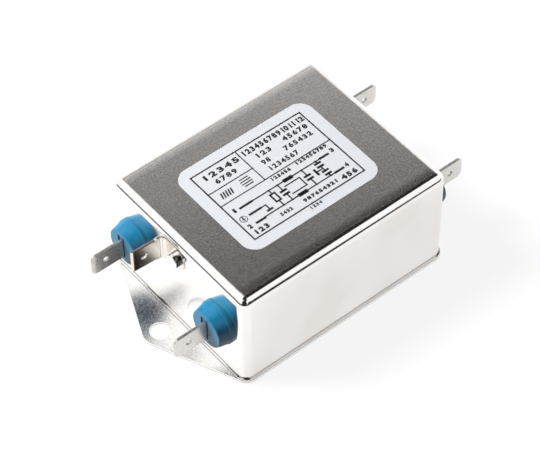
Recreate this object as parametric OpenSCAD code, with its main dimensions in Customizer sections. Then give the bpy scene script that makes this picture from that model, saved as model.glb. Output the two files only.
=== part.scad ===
// Flange-mounted single-phase mains filter in a drawn can
// Origin: centre of the base plate's underside. +X: load end, -X: line end, +Z: up. Lengths in mm.

/* [Can] */
// Length of the can over its end walls, without the foot rim
can_l = 64; // [62:0.5:74]
// Width of the can over its long walls, without the foot rim
can_w = 51.5; // [51:0.5:62]
// Height of the can above the base plate
can_h = 29.9; // [29.5:0.1:36]
// Thickness of the can's sheet
sheet = 0.5; // [0.4:0.05:0.6]
// Outside radius of the can's upright corners
corner_r = 2.6; // [2.6:0.1:4]
// Outside radius of the bend round the roof
roof_r = 2.5; // [1.2:0.1:2.5]
// How far the foot rim stands out from the walls
rim_w = 0.45; // [0.2:0.05:0.8]

/* [Base plate] */
// Thickness of the base plate
plate_t = 0.8; // [0.6:0.1:1.4]
// Distance from the can's end wall to the centre of a fixing hole
hole_out = 6; // [5:0.1:10]
// Diameter of the two fixing holes
hole_d = 5.3; // [3.2:0.1:6]
// Width of the metal left round a fixing hole
lug_land = 1.85; // [1.2:0.05:3]

/* [Mains tabs] */
// Width of a tab
tab_w = 6.3; // [4.8:0.1:6.6]
// Thickness of a tab
tab_t = 0.8; // [0.5:0.05:1.2]
// Reach of a tab outside the can's end wall
tab_out = 13.6; // [11:0.1:18]
// Reach of a tab inside the outer face of the end wall
tab_in = 5; // [4:0.1:5.4]
// Distance from the can's long wall to the middle of a tab
tab_inset = 9.35; // [8.5:0.05:10]
// Height of the tabs' middle above the underside of the base plate
tab_z = 16; // [15:0.1:17]
// Diameter of the latch hole in a tab
tab_hole_d = 1.65; // [1.2:0.05:2.2]
// Distance from the tip of a tab to its latch hole
tab_hole_back = 4.2; // [3:0.1:5]
// Length and width of the corner cut at the tip
tip_cut = 1.1; // [0.5:0.1:1.6]
// Length over which the tip is thinned
tip_thin_l = 1.3; // [0.6:0.1:2]
// Depth thinned off each face at the tip
tip_thin_t = 0.22; // [0.1:0.02:0.24]

/* [Bushings] */
// Height of a bushing outside the end wall
bush_out = 4; // [2.5:0.1:6]
// Diameter of a bushing at its face
bush_face_d = 10.3; // [9.9:0.1:11]
// Diameter of a bushing at the wall
bush_base_d = 11.9; // [11.2:0.1:13]
// Height of the straight rim of a bushing at the wall
bush_rim_h = 0.95; // [0.2:0.05:1.2]
// Diameter of the neck that passes through the wall
neck_d = 9; // [8.8:0.1:9.6]
// Clearance round the neck in its hole
neck_gap = 0.1; // [0.05:0.05:0.2]
// Diameter of the collar behind the wall
collar_d = 10.8; // [10:0.1:11]
// Thickness of the collar behind the wall
collar_t = 1.2; // [0.8:0.1:1.4]
// Width of the slot that the tab passes through
slot_w = 2.5; // [2:0.1:2.8]
// Clearance above and below the tab in its slot
slot_gap = 0.3; // [0.1:0.05:0.35]
// Distance of the slot's middle from the bushing's axis
slot_shift = 0.6; // [0:0.05:0.6]
// Width of the small bevel round the face
face_bevel = 0.25; // [0.1:0.05:0.4]

/* [Earth terminal] */
// Thickness of the earth tab's sheet
earth_t = 0.8; // [0.6:0.05:1]
// Width of the earth tab's blade
earth_w = 6.8; // [6.3:0.1:7]
// Reach of the earth tab outside the end wall
earth_out = 9.3; // [8:0.1:11]
// Place of the blade's near face across the can
earth_y = 4.3; // [4:0.1:5]
// Distance from the top of the roof down to the earth tab's middle
earth_drop = 5.7; // [5.7:0.1:8]
// Height of the foot that lies on the wall
foot_h = 7.4; // [7:0.1:7.4]
// Length of the foot beyond the rivet's axis
foot_reach = 3.1; // [2.4:0.1:4]
// Corner radius of the foot
foot_r = 1.2; // [0.5:0.1:2]
// Inside radius of the bend
bend_r = 0.6; // [0.3:0.05:1]
// Length of the blade's taller root
root_l = 0.8; // [0.3:0.05:1.2]
// Angle by which the blade leans away from the square
splay = 3; // [0:1:8]
// Diameter of the hole in the blade
earth_hole_d = 1.8; // [1.2:0.1:2.4]
// Distance from the blade's tip to its hole
earth_hole_back = 3.4; // [2.6:0.1:4]
// Place of the rivet across the can
rivet_y = -0.5; // [-1:0.1:0]
// Distance of the rivet's axis below the earth tab's middle
rivet_drop = 0.4; // [0:0.1:1]
// Diameter of the rivet's head
rivet_head_d = 3.9; // [3.4:0.1:4.6]
// Height of the rivet's head
rivet_head_t = 0.9; // [0.5:0.1:1.5]
// Diameter of the rivet's shank
rivet_d = 2.4; // [1.8:0.1:2.8]
// Clearance round the rivet's shank
rivet_gap = 0.05; // [0.05:0.05:0.1]
// Height of the closed end of the rivet inside the can
rivet_tail_t = 0.7; // [0.5:0.05:0.8]

/* [Label] */
// Length of the label along the can
label_l = 41.1; // [30:0.1:50]
// Width of the label
label_w = 31.2; // [24:0.1:38]
// Corner radius of the label
label_r = 4; // [1:0.1:6]
// Thickness of the label
label_t = 0.12; // [0.08:0.02:0.2]
// How far the label sits off the middle of the roof
label_shift = 0.4; // [-2:0.1:2]

/* [Choke] */
// Outside diameter of the ring core
core_d = 30; // [28:0.5:31]
// Radial thickness of the core's ring
core_t = 6; // [5.5:0.5:7]
// Height of the core
core_h = 12; // [9:0.5:12.5]
// Diameter of the enamelled wire
wire_d = 1.1; // [0.7:0.05:1.2]
// Turns in each winding
turns = 11; // [5:1:11]
// Clearance between the wire and the core
wire_gap = 0.15; // [0.1:0.05:0.3]
// Angle from the divider to the first turn
first_turn = 17; // [15:1:30]
// Thickness of the divider between the windings
divider_t = 1.6; // [1:0.1:2]

/* [Capacitors and resistor] */
// Length of an X capacitor, across the can
xcap_l = 26; // [20:0.5:27]
// Thickness of an X capacitor, along the can
xcap_t = 8; // [6:0.5:8.5]
// Height of an X capacitor
xcap_h = 16.5; // [12:0.5:17]
// Distance from the end of an X capacitor to its lead
xcap_lead_in = 1.75; // [1.5:0.25:4]
// Length of a Y capacitor, along the can
ycap_l = 11; // [8:0.5:12]
// Thickness of a Y capacitor, across the can
ycap_t = 3.6; // [2.5:0.1:4]
// Height of a Y capacitor
ycap_h = 9; // [6:0.5:11]
// Distance from the end of a Y capacitor to its lead
ycap_lead_in = 1.75; // [1.5:0.25:3]
// Diameter of a component lead
lead_d = 0.7; // [0.5:0.05:0.8]
// Length of the resistor's body
res_l = 6.5; // [5:0.5:9]
// Diameter of the resistor's body
res_d = 2.4; // [1.6:0.1:2.4]

/* [Insulation and wiring] */
// Thickness of the insulating film
film_t = 0.3; // [0.2:0.05:0.4]
// Thickness of the fibre sheet on the base plate
fibre_t = 0.5; // [0.3:0.1:0.8]
// Clearance between pieces that rest on each other
fit_gap = 0.1; // [0.05:0.05:0.15]
// Clearance between a component and the potting compound
pot_gap = 0.3; // [0.2:0.05:0.4]
// Diameter of the insulated hook-up wires
hookup_d = 1.3; // [0.9:0.1:1.4]
// Diameter of the earth wire
earth_wire_d = 1.5; // [1:0.1:1.6]

/* [Hidden] */
$fn = 64;

// Overrun of every cut
over = 1;
// Steps of a drawn arc, and sides of a wire
arc_steps = 12;
strand_sides = 12;
// The can: half lengths, levels and inside sizes
end_x = can_l / 2;
roof_z = plate_t + can_h;
in_l = can_l - 2 * sheet;
in_w = can_w - 2 * sheet;
ceiling_z = roof_z - sheet;
// The rim and the base plate share one outline
foot_l = can_l + 2 * rim_w;
foot_w = can_w + 2 * rim_w;
foot_corner_r = corner_r + rim_w;
// The lugs
lug_r = hole_d / 2 + lug_land;
hole_x = end_x + hole_out;
// The slot in a bushing
slot_h = tab_w + 2 * slot_gap;
// The earth tab's middle and the rivet's axis
earth_z = roof_z - earth_drop;
rivet_z = earth_z - rivet_drop;
// The film and the compound inside it
film_w = in_w - 2 * fit_gap;
film_roof_z = ceiling_z - fit_gap;
film_l = in_l - 2 * (collar_t + pot_gap);
film_foot_z = plate_t + fibre_t + 2 * fit_gap;
pot_w = film_w - 2 * film_t - 2 * fit_gap;
pot_l = film_l - 2 * pot_gap;
pot_roof_z = film_roof_z - film_t - fit_gap;
// Cover of compound over the components
pot_cover = 1;
part_top_z = pot_roof_z - pot_cover;
// The choke: middle radius, half section and the wire's path round it
core_bore = core_d - 2 * core_t;
core_half_t = core_t / 2;
core_mid_r = core_d / 2 - core_half_t;
path_a = core_half_t + wire_gap + wire_d / 2;
path_b = core_h / 2 + wire_gap + wire_d / 2;
core_edge_r = 0.9;
path_corner_r = wire_gap + wire_d / 2 + core_edge_r;
choke_r = core_mid_r + path_a + wire_d / 2;
choke_z = part_top_z - path_b - wire_d / 2;
choke_foot_z = choke_z - path_b - wire_d / 2;
// The compound's lower face is level with the choke's
pot_z = choke_foot_z;
// Rings along one turn of wire, and sides of the wire
turn_rings = 16;
wire_sides = 6;
// The X capacitors stand beside the choke
xcap_gap = 1;
xcap_x = choke_r + xcap_gap + xcap_t / 2;
xcap_foot_z = part_top_z - xcap_h;
xcap_pitch = xcap_l - 2 * xcap_lead_in;
// The Y capacitors stand in the load end's corners
ycap_y = pot_w / 2 - pot_cover - ycap_t / 2;
ycap_x = pot_l / 2 - pot_cover - ycap_l / 2;
ycap_foot_z = pot_z + pot_gap;
ycap_pitch = ycap_l - 2 * ycap_lead_in;
// Inner ends of the tabs, and levels and lines of the wiring
tab_end_x = end_x - tab_in;
tab_y = can_w / 2 - tab_inset;
joint_z = tab_z - tab_w / 4;
lead_drop = 2;
lead_z = min(xcap_foot_z, ycap_foot_z) - lead_drop;
hookup_z = lead_z - lead_d / 2 - pot_gap - hookup_d / 2;
earth_wire_z = hookup_z - hookup_d / 2 - pot_gap - earth_wire_d / 2;
joint_x = tab_end_x + pot_gap + hookup_d / 2;
hookup_y = tab_y + tab_t / 2 + fit_gap + hookup_d / 2;
lead_y = tab_y - tab_t / 2 - fit_gap - lead_d / 2;
// The resistor lies between the line tabs
res_x = -(end_x - sheet - collar_t - 2 * pot_gap - res_d / 2);
res_z = xcap_foot_z - pot_gap - res_d / 2;
// The ring lug of the earth connection, inside the end wall
lug_ring_t = 0.6;
lug_ring_d = 6.4;
lug_tail_w = 2.6;
lug_tail_l = 4.6;

// A rectangle with round corners, centred
module round_rect(l, w, r) {
    square([l - 2 * r, w], center = true);
    square([l, w - 2 * r], center = true);
    for (i = [-1, 1], j = [-1, 1])
        translate([i * (l / 2 - r), j * (w / 2 - r)]) circle(r = r);
}

// An upright section, w wide and h high, with its two top corners rounded
module arch_section(w, h, r) {
    translate([-w / 2, 0]) square([w, h - r]);
    translate([-w / 2 + r, 0]) square([w - 2 * r, h]);
    for (i = [-1, 1]) translate([i * (w / 2 - r), h - r]) circle(r = r);
}

// Extrudes a section drawn in X and Z along Y, centred
module along_y(l) {
    translate([0, l / 2, 0]) rotate([90, 0, 0]) linear_extrude(l) children();
}

// Extrudes a section drawn in Y and Z along X, centred
module along_x(l) {
    translate([-l / 2, 0, 0]) rotate([90, 0, 90]) linear_extrude(l) children();
}

// A block with upright corners of radius rc and a roof edge of radius re
module drawn_block(l, w, h, rc, re) {
    along_x(l - 2 * rc) arch_section(w, h, re);
    along_y(w - 2 * rc) arch_section(l, h, re);
    for (i = [-1, 1], j = [-1, 1])
        translate([i * (l / 2 - rc), j * (w / 2 - rc), 0])
            rotate_extrude() {
                square([rc, h - re]);
                square([rc - re, h]);
                intersection() {
                    translate([rc - re, h - re]) circle(r = re);
                    translate([rc - re, h - re]) square(re);
                }
            }
}

// Direction of stretch i of a route
function direction(pts, i) = (pts[i + 1] - pts[i]) / norm(pts[i + 1] - pts[i]);

// Normal of the plane in which a wire turns at point i of its route
function mitre(pts, i) =
    let (last = len(pts) - 1)
    direction(pts, min(i, last - 1)) + direction(pts, max(i - 1, 0));

// The first ring of a wire, square to the route
function first_ring(pts, r) =
    let (d = direction(pts, 0),
         e = abs(d.z) > 0.5 ? [1, 0, 0] : [0, 0, 1],
         u = cross(d, e) / norm(cross(d, e)),
         v = cross(d, u))
    [for (m = [0 : strand_sides - 1])
        let (t = 360 * (m + 0.5) / strand_sides) pts[0] + r * (cos(t) * u + sin(t) * v)];

// A ring slid along stretch i to the plane of the next turn
function next_ring(pts, ring, i) =
    let (d = direction(pts, i), n = mitre(pts, i + 1))
    [for (p = ring) p + d * ((pts[i + 1] - p) * n) / (d * n)];

// All rings from ring i on
function rings(pts, ring, i = 0) =
    i == len(pts) - 1 ? ring : concat(ring, rings(pts, next_ring(pts, ring, i), i + 1));

// A closed tube through count rings of s points each
module tube(points, count, s) {
    last = (count - 1) * s;
    sides = [for (n = [0 : count - 2], m = [0 : s - 1])
                 let (a = n * s + m, b = n * s + (m + 1) % s)
                 each [[a, a + s, b], [b, a + s, b + s]]];
    ends = [for (m = [1 : s - 2]) each [[0, m, m + 1], [last, last + m + 1, last + m]]];
    polyhedron(points, concat(sides, ends));
}

// A wire through the points pts, with mitred turns
module strand(pts, d) {
    tube(rings(pts, first_ring(pts, d / 2)), len(pts), strand_sides);
}

// Moves to a terminal: the wall's outer face is at x = 0 and +x points away from the can
module at_terminal(end, side) {
    translate([end * end_x, side * tab_y, tab_z]) rotate([0, 0, end > 0 ? 0 : 180]) children();
}

// Moves to the line end's wall: +x points away from the can, y and z stay
module at_line_wall() {
    translate([-end_x, 0, 0]) mirror([1, 0, 0]) children();
}

// The drawn can, open below, with its foot rim
module can() {
    color("silver")
        difference() {
            union() {
                translate([0, 0, plate_t]) drawn_block(can_l, can_w, can_h, corner_r, roof_r);
                translate([0, 0, plate_t]) linear_extrude(sheet) round_rect(foot_l, foot_w, foot_corner_r);
            }
            translate([0, 0, plate_t - over])
                drawn_block(in_l, in_w, can_h - sheet + over, corner_r - sheet, roof_r - sheet);
            for (end = [-1, 1], side = [-1, 1])
                at_terminal(end, side) rotate([0, -90, 0])
                    translate([0, 0, -over]) cylinder(h = sheet + 2 * over, d = neck_d + 2 * neck_gap);
            at_line_wall() translate([over, rivet_y, rivet_z]) rotate([0, -90, 0])
                cylinder(h = sheet + 2 * over, d = rivet_d + 2 * rivet_gap);
        }
}

// Points of an arc round c, from angle a to angle b
function arc(c, r, a, b) =
    [for (i = [0 : arc_steps]) let (t = a + (b - a) * i / arc_steps) c + r * [cos(t), sin(t)]];

// A quarter of the plate's outline, from the lug's tip to the long side
plate_corner = [foot_l / 2 - foot_corner_r, foot_w / 2 - foot_corner_r];
lug_run = [hole_x, 0] - plate_corner;
lug_angle = atan2(lug_run.y, lug_run.x) + acos((foot_corner_r - lug_r) / norm(lug_run));
quarter = concat(arc([hole_x, 0], lug_r, 0, lug_angle), arc(plate_corner, foot_corner_r, lug_angle, 90));
half = concat(quarter, [for (i = [len(quarter) - 1 : -1 : 0]) [-quarter[i].x, quarter[i].y]]);

// The flat base plate with a lug at each end
module base_plate() {
    color("gainsboro")
        difference() {
            linear_extrude(plate_t)
                polygon(concat(half, [for (i = [len(half) - 2 : -1 : 1]) [half[i].x, -half[i].y]]));
            for (end = [-1, 1])
                translate([end * hole_x, 0, -over]) cylinder(h = plate_t + 2 * over, d = hole_d);
        }
}

// The paper label on the roof
module label() {
    color("whitesmoke")
        translate([0, label_shift, roof_z]) linear_extrude(label_t) round_rect(label_l, label_w, label_r);
}

// One mains tab, in the frame of at_terminal
module mains_tab() {
    h = tab_w / 2;
    r = tab_t / 2;
    color("darkgray")
        difference() {
            intersection() {
                translate([0, r, 0]) rotate([90, 0, 0]) linear_extrude(tab_t)
                    polygon([[-tab_in, -h], [tab_out - tip_cut, -h], [tab_out, -h + tip_cut],
                             [tab_out, h - tip_cut], [tab_out - tip_cut, h], [-tab_in, h]]);
                translate([0, 0, -h]) linear_extrude(tab_w)
                    polygon([[-tab_in, -r], [tab_out - tip_thin_l, -r], [tab_out, -r + tip_thin_t],
                             [tab_out, r - tip_thin_t], [tab_out - tip_thin_l, r], [-tab_in, r]]);
            }
            translate([tab_out - tab_hole_back, tab_t, 0]) rotate([90, 0, 0])
                cylinder(h = 2 * tab_t, d = tab_hole_d);
        }
}

module line_tab_1() { at_terminal(-1, -1) mains_tab(); }
module line_tab_2() { at_terminal(-1, 1) mains_tab(); }
module load_tab_1() { at_terminal(1, -1) mains_tab(); }
module load_tab_2() { at_terminal(1, 1) mains_tab(); }

// One bushing, in the frame of at_terminal
module bushing() {
    inner = sheet + collar_t;
    color([0.16, 0.52, 0.78])
        difference() {
            rotate([0, 90, 0]) rotate_extrude()
                polygon([[0, -inner], [collar_d / 2, -inner], [collar_d / 2, -sheet],
                         [neck_d / 2, -sheet], [neck_d / 2, 0], [bush_base_d / 2, 0],
                         [bush_base_d / 2, bush_rim_h], [bush_face_d / 2, bush_out - face_bevel],
                         [bush_face_d / 2 - face_bevel, bush_out], [0, bush_out]]);
            translate([-inner - over, -slot_w / 2 - slot_shift, -slot_h / 2])
                cube([inner + bush_out + 2 * over, slot_w, slot_h]);
        }
}

module line_bushing_1() { at_terminal(-1, -1) bushing(); }
module line_bushing_2() { at_terminal(-1, 1) bushing(); }
module load_bushing_1() { at_terminal(1, -1) bushing(); }
module load_bushing_2() { at_terminal(1, 1) bushing(); }

// The earth tab in plan: a foot on the end wall, a bend and a blade
module earth_plan() {
    c = [earth_t + bend_r, earth_y - bend_r];
    turn = 90 + splay;
    l = (earth_out - c.x) / cos(splay);
    run = l * [cos(splay), sin(splay)];
    outer = arc(c, bend_r + earth_t, turn, 180);
    inner = arc(c, bend_r, 180, turn);
    foot = [[0, rivet_y - foot_reach], [earth_t, rivet_y - foot_reach]];
    polygon(concat([outer[0] + run], outer, foot, inner, [inner[arc_steps] + run]));
}

// The earth tab seen along the end wall: a tall root and a narrower blade
module earth_side() {
    root_x = earth_t + bend_r + root_l;
    step = (foot_h - earth_w) / 2;
    h = foot_h / 2;
    b = earth_w / 2;
    far = earth_out + earth_t;
    polygon([[0, -h], [root_x, -h], [root_x + step, -b], [far, -b],
             [far, b], [root_x + step, b], [root_x, h], [0, h]]);
}

// The earth tab seen square to the end wall, with the round corners of the foot
module earth_front() {
    y = rivet_y - foot_reach;
    far = earth_y + earth_out;
    h = foot_h / 2;
    polygon(concat(arc([y + foot_r, foot_r - h], foot_r, 180, 270), [[far, -h], [far, h]],
                   arc([y + foot_r, h - foot_r], foot_r, 90, 180)));
}

// The earth tab with its two holes
module earth_tab() {
    hole_run = (earth_out - bend_r - earth_t) / cos(splay) - earth_hole_back;
    color("rosybrown")
        at_line_wall() translate([0, 0, earth_z]) difference() {
            intersection() {
                translate([0, 0, -foot_h / 2]) linear_extrude(foot_h) earth_plan();
                translate([0, earth_y + earth_out, 0]) rotate([90, 0, 0])
                    linear_extrude(earth_out + earth_y + 2 * foot_reach) earth_side();
                rotate([90, 0, 90]) linear_extrude(earth_out + earth_t) earth_front();
            }
            translate([-over, rivet_y, -rivet_drop]) rotate([0, 90, 0])
                cylinder(h = earth_t + 2 * over, d = rivet_d + 2 * rivet_gap);
            translate([earth_t + bend_r, earth_y - bend_r, 0]) rotate([0, 0, splay])
                translate([hole_run, bend_r + earth_t + over, 0]) rotate([90, 0, 0])
                    cylinder(h = earth_t + 2 * over, d = earth_hole_d);
        }
}

// The rivet that clamps the foot, the wall and the ring lug
module earth_rivet() {
    inner = sheet + lug_ring_t;
    head_r = rivet_head_d / 2;
    bevel = rivet_head_t / 5;
    color("gainsboro")
        at_line_wall() translate([0, rivet_y, rivet_z]) rotate([0, 90, 0]) rotate_extrude()
            polygon([[0, -inner - rivet_tail_t], [head_r, -inner - rivet_tail_t], [head_r, -inner],
                     [rivet_d / 2, -inner], [rivet_d / 2, earth_t], [head_r, earth_t],
                     [head_r, earth_t + rivet_head_t - bevel], [head_r - bevel, earth_t + rivet_head_t],
                     [0, earth_t + rivet_head_t]]);
}

// The ring lug inside the can, under the rivet's closed end
module earth_ring_lug() {
    color("goldenrod")
        at_line_wall() translate([-sheet - lug_ring_t, rivet_y, rivet_z])
            rotate([90, 0, 90]) linear_extrude(lug_ring_t)
                difference() {
                    union() {
                        circle(d = lug_ring_d);
                        translate([-lug_tail_w / 2, -lug_ring_d / 2 - lug_tail_l])
                            square([lug_tail_w, lug_ring_d / 2 + lug_tail_l]);
                    }
                    circle(d = rivet_d + 2 * rivet_gap);
                }
}

// The earth wire, from the ring lug's tail to the Y capacitors
module earth_wire() {
    x = -(end_x - sheet - fit_gap - earth_wire_d / 2);
    tail_z = rivet_z - lug_ring_d / 2 - lug_tail_l;
    color("yellowgreen")
        strand([[x, rivet_y, tail_z - fit_gap], [x, rivet_y, earth_wire_z],
                [ycap_x - ycap_pitch / 2 - lead_d / 2 - pot_gap, rivet_y, earth_wire_z]], earth_wire_d);
}

// The ring core of the choke, with round edges
module choke_core() {
    color("darkseagreen")
        translate([0, 0, choke_z]) rotate_extrude()
            translate([core_mid_r, 0]) round_rect(2 * core_half_t, core_h, core_edge_r);
}

// The divider in the bore of the core
module choke_divider() {
    l = core_bore - 2 * fit_gap;
    h = choke_z + path_b - choke_foot_z;
    color("ivory")
        translate([-l / 2, -divider_t / 2, choke_foot_z]) cube([l, divider_t, h]);
}

// Place round the section of the core: point i of turn_rings, as [radial, height, normal's angle]
function section_point(i) =
    let (k = floor(i * 4 / turn_rings) % 4,
         j = i % (turn_rings / 4),
         a = 90 * k - 90,
         b = a + (j - 1) * 45,
         q = path_corner_r,
         sx = k == 0 || k == 1 ? 1 : -1,
         sz = k == 1 || k == 2 ? 1 : -1)
    j == 0 ? [path_a * cos(a), path_b * sin(a), a]
           : [sx * (path_a - q) + q * cos(b), sz * (path_b - q) + q * sin(b), b];

// Number of rings along one winding
winding_rings = turns * turn_rings + 1;

// Angle round the core of ring n
function winding_angle(n) = first_turn + (180 - 2 * first_turn) * n / (winding_rings - 1);

// Centre of ring n
function winding_centre(n) =
    let (s = section_point(n % turn_rings), t = winding_angle(n), r = core_mid_r + s[0])
    [r * cos(t), r * sin(t), choke_z + s[1]];

// Point m round ring n
function winding_point(n, m) =
    let (s = section_point(n % turn_rings), t = winding_angle(n), b = 360 * m / wire_sides, w = wire_d / 2)
    winding_centre(n) + w * cos(b) * [cos(s[2]) * cos(t), cos(s[2]) * sin(t), sin(s[2])]
                      + w * sin(b) * [-sin(t), cos(t), 0];

// Least gap between one turn and the next, measured between the rings' centres
winding_gap = min([for (i = [0 : turn_rings - 1], j = [turn_rings : 2 * turn_rings - 1])
                   if (j - i > turn_rings / 2) norm(winding_centre(i) - winding_centre(j))]) - wire_d;
echo(winding_gap = winding_gap);

// One winding: a single unbroken tube wound round half of the core
module winding() {
    points = [for (n = [0 : winding_rings - 1], m = [0 : wire_sides - 1]) winding_point(n, m)];
    tube(points, winding_rings, wire_sides);
}

module choke_winding_1() { color("peru") mirror([0, 1, 0]) winding(); }
module choke_winding_2() { color("peru") winding(); }

// The body of an X capacitor and its two bent leads, at the end given
module x_capacitor(end) {
    x = end * xcap_x;
    color("goldenrod") {
        translate([x - xcap_t / 2, -xcap_l / 2, xcap_foot_z]) cube([xcap_t, xcap_l, xcap_h]);
        for (side = [-1, 1])
            strand([[x, side * xcap_pitch / 2, xcap_foot_z], [x, side * xcap_pitch / 2, lead_z],
                    [end * joint_x, side * lead_y, lead_z], [end * joint_x, side * lead_y, joint_z]], lead_d);
    }
}

module x_capacitor_line() { x_capacitor(-1); }
module x_capacitor_load() { x_capacitor(1); }

// The body of a Y capacitor and its two leads, on the side given
module y_capacitor(side) {
    y = side * ycap_y;
    near = ycap_x - ycap_pitch / 2;
    far = ycap_x + ycap_pitch / 2;
    color("royalblue") {
        translate([ycap_x - ycap_l / 2, y - ycap_t / 2, ycap_foot_z]) cube([ycap_l, ycap_t, ycap_h]);
        strand([[far, y, ycap_foot_z], [far, y, lead_z],
                [joint_x, side * (hookup_y + hookup_d / 2 + fit_gap + lead_d / 2), lead_z]], lead_d);
        strand([[near, y, ycap_foot_z], [near, y, earth_wire_z],
                [near, side * fit_gap + rivet_y, earth_wire_z]], lead_d);
    }
}

module y_capacitor_1() { y_capacitor(-1); }
module y_capacitor_2() { y_capacitor(1); }

// The bleed resistor between the line tabs, with its two leads
module bleed_resistor() {
    color("burlywood")
        translate([res_x, res_l / 2, res_z]) rotate([90, 0, 0]) cylinder(h = res_l, d = res_d);
    color("silver")
        for (side = [-1, 1])
            strand([[res_x, side * res_l / 2, res_z], [res_x, side * (lead_y - lead_d), res_z]], lead_d);
}

// A hook-up wire, from a tab's inner end to the end of a winding
module hookup_wire(end, side, tone) {
    x = end * core_mid_r * cos(first_turn);
    y = side * core_mid_r * sin(first_turn);
    color(tone)
        strand([[end * joint_x, side * hookup_y, joint_z], [end * joint_x, side * hookup_y, hookup_z],
                [x, y, hookup_z], [x, y, choke_foot_z - fit_gap]], hookup_d);
}

module line_wire_1() { hookup_wire(-1, -1, "steelblue"); }
module line_wire_2() { hookup_wire(-1, 1, "sienna"); }
module load_wire_1() { hookup_wire(1, -1, "steelblue"); }
module load_wire_2() { hookup_wire(1, 1, "sienna"); }

// The folded film that lines the roof and the long walls
module insulating_film() {
    h = film_roof_z - film_foot_z;
    r = roof_r - sheet;
    color("lemonchiffon")
        translate([0, 0, film_foot_z]) difference() {
            along_x(film_l) arch_section(film_w, h, r);
            translate([0, 0, -over]) along_x(film_l + 2 * over)
                arch_section(film_w - 2 * film_t, h - film_t + over, r - film_t);
        }
}

// The fibre sheet that lies on the base plate
module fibre_sheet() {
    color("sandybrown")
        translate([0, 0, plate_t + fit_gap]) linear_extrude(fibre_t)
            round_rect(in_l - 2 * pot_gap, in_w - 2 * pot_gap, corner_r - sheet);
}

// The potting compound under the roof, with a pocket for each component
module potting_compound() {
    g = 2 * pot_gap;
    tab_room = hookup_y + hookup_d / 2 + pot_gap - tab_y;
    color("dimgray")
        difference() {
            translate([0, 0, pot_z]) along_x(pot_l)
                arch_section(pot_w, pot_roof_z - pot_z, roof_r - sheet - film_t);
            translate([0, 0, pot_z - over])
                cylinder(h = part_top_z + pot_gap - pot_z + over, r = choke_r + pot_gap);
            for (end = [-1, 1])
                translate([end * xcap_x, 0, (pot_z - over + part_top_z + pot_gap) / 2])
                    cube([xcap_t + g, xcap_l + g, part_top_z + pot_gap - pot_z + over], center = true);
            for (side = [-1, 1])
                translate([ycap_x, side * ycap_y, pot_z - over + (ycap_h + g + over) / 2])
                    cube([ycap_l + g, ycap_t + g, ycap_h + g + over], center = true);
            for (end = [-1, 1], side = [-1, 1])
                at_terminal(end, side) translate([-tab_in - pot_gap, -tab_room, -tab_z + pot_z - over])
                    cube([tab_in + over, 2 * tab_room, tab_z + tab_w / 2 + pot_gap + over - pot_z]);
        }
}

can();
base_plate();
label();
line_tab_1();
line_tab_2();
load_tab_1();
load_tab_2();
line_bushing_1();
line_bushing_2();
load_bushing_1();
load_bushing_2();
earth_tab();
earth_rivet();
earth_ring_lug();
earth_wire();
choke_core();
choke_divider();
choke_winding_1();
choke_winding_2();
x_capacitor_line();
x_capacitor_load();
y_capacitor_1();
y_capacitor_2();
bleed_resistor();
line_wire_1();
line_wire_2();
load_wire_1();
load_wire_2();
insulating_film();
fibre_sheet();
potting_compound();
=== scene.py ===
import math

import bmesh
import bpy
from mathutils import Matrix, Vector


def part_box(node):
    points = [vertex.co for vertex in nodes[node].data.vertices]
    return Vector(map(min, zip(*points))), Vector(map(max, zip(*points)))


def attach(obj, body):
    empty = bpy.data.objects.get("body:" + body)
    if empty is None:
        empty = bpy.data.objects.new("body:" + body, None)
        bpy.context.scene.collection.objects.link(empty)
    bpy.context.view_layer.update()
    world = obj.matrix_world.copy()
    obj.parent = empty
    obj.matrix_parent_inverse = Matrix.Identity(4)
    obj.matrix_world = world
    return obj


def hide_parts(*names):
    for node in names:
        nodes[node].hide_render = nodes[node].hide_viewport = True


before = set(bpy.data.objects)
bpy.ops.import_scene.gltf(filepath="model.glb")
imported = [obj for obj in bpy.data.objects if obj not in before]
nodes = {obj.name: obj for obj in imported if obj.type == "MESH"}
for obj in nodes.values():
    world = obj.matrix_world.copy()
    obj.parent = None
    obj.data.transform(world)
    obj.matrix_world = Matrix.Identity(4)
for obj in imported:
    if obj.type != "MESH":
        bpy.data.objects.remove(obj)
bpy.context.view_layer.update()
mm = 0.001
print("frame loaded,", len(nodes), "nodes")


# Small helpers for modelling

shapingPlan = {
    "same": 0.01,        # places this near count as one, in mm
    "merge": 1e-6,       # points this near are joined, in metres
    "facing": 0.9,       # a face points along an axis where its normal's part is over this
    "upright": 0.5,      # and stands upright where its normal's rise is under this
    "drillSides": 48,
    "bevelAngle": 30, "smoothAngle": 40,   # in degrees
    "roundShare": 0.3,   # the middle of a rounded edge, as a share of its width
}


def nodeBox(name):
    low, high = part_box(name)
    return low / mm, high / mm


def selectOnly(obj):
    bpy.ops.object.select_all(action="DESELECT")
    obj.select_set(True)
    bpy.context.view_layer.objects.active = obj


def nameObject(obj, name):
    obj.name = name
    obj.data.name = name
    return obj


def settle(obj, name):
    # Puts the object's place, turn and scale into its mesh
    nameObject(obj, name)
    selectOnly(obj)
    bpy.ops.object.transform_apply(location=True, rotation=True, scale=True)
    return obj


def addBlock(name, low, high):
    bpy.ops.object.select_all(action="DESELECT")
    low, high = Vector(low) * mm, Vector(high) * mm
    bpy.ops.mesh.primitive_cube_add(size=1, location=(low + high) / 2, scale=high - low)
    return settle(bpy.context.object, name)


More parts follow.
